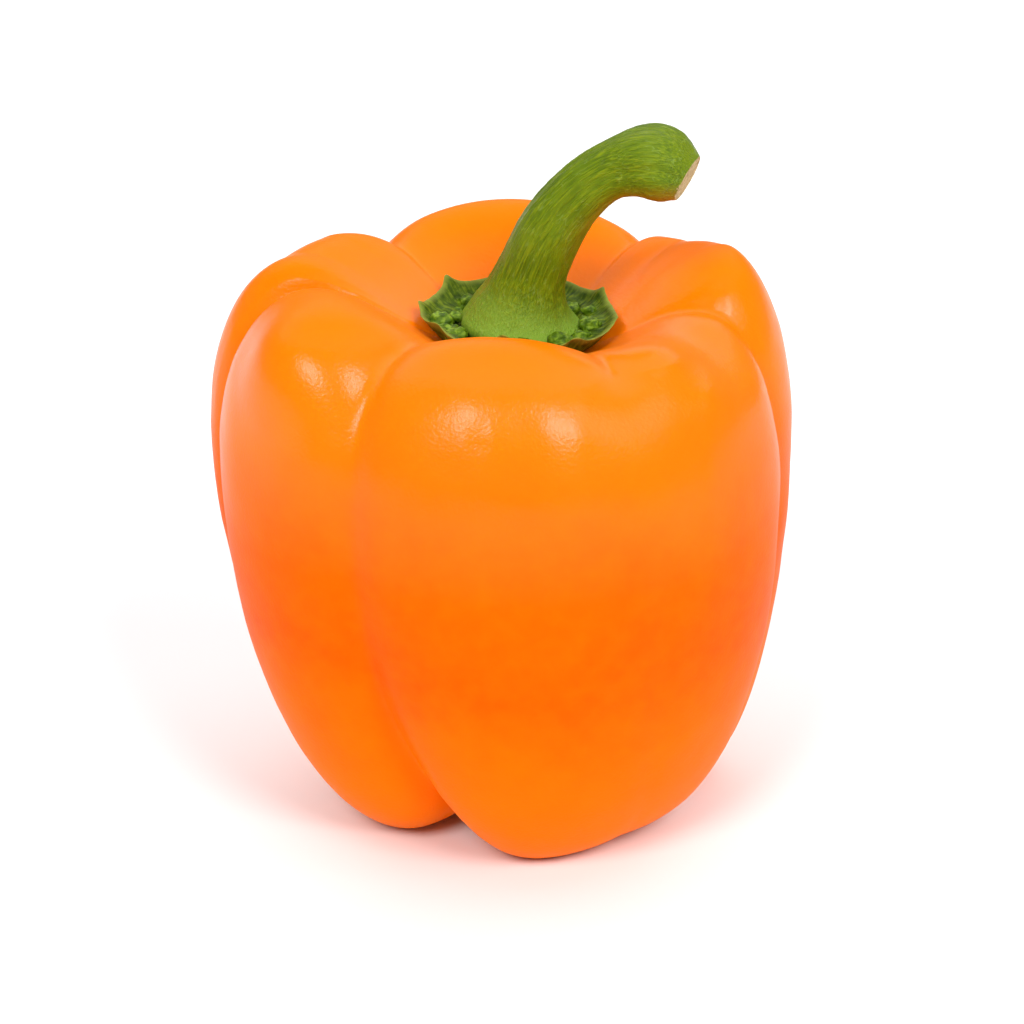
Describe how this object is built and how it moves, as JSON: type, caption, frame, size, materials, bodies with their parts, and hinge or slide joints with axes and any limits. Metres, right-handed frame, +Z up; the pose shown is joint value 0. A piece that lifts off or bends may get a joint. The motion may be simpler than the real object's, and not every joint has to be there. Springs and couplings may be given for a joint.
{
  "type": "bell pepper",
  "caption": "Blocky lobed sweet pepper standing on the feet of its lobes, with a toothed calyx in the hollow on top and a thick bent stalk cut off at its end.",
  "frame": {"origin": "bottom centre of the whole pepper's bounding box, on the surface it stands on", "axes": "+Z up along the fruit's core, -Y towards the side with the widest pair of joined lobes, the stalk bends over towards +X"},
  "size_m": [0.0888, 0.085, 0.1099],
  "materials": {
    "skin": "waxy orange skin, smooth and glossy with soft highlights",
    "calyx": "dull green leafy tissue, paler along its rim",
    "stalk": "satin yellow-green with fine ridges along it, and a dry tan cut end"
  },
  "bodies": {
    "root": {"fruit": "skin", "calyx": "calyx", "stem": "stalk"}
  },
  "joints": []
}
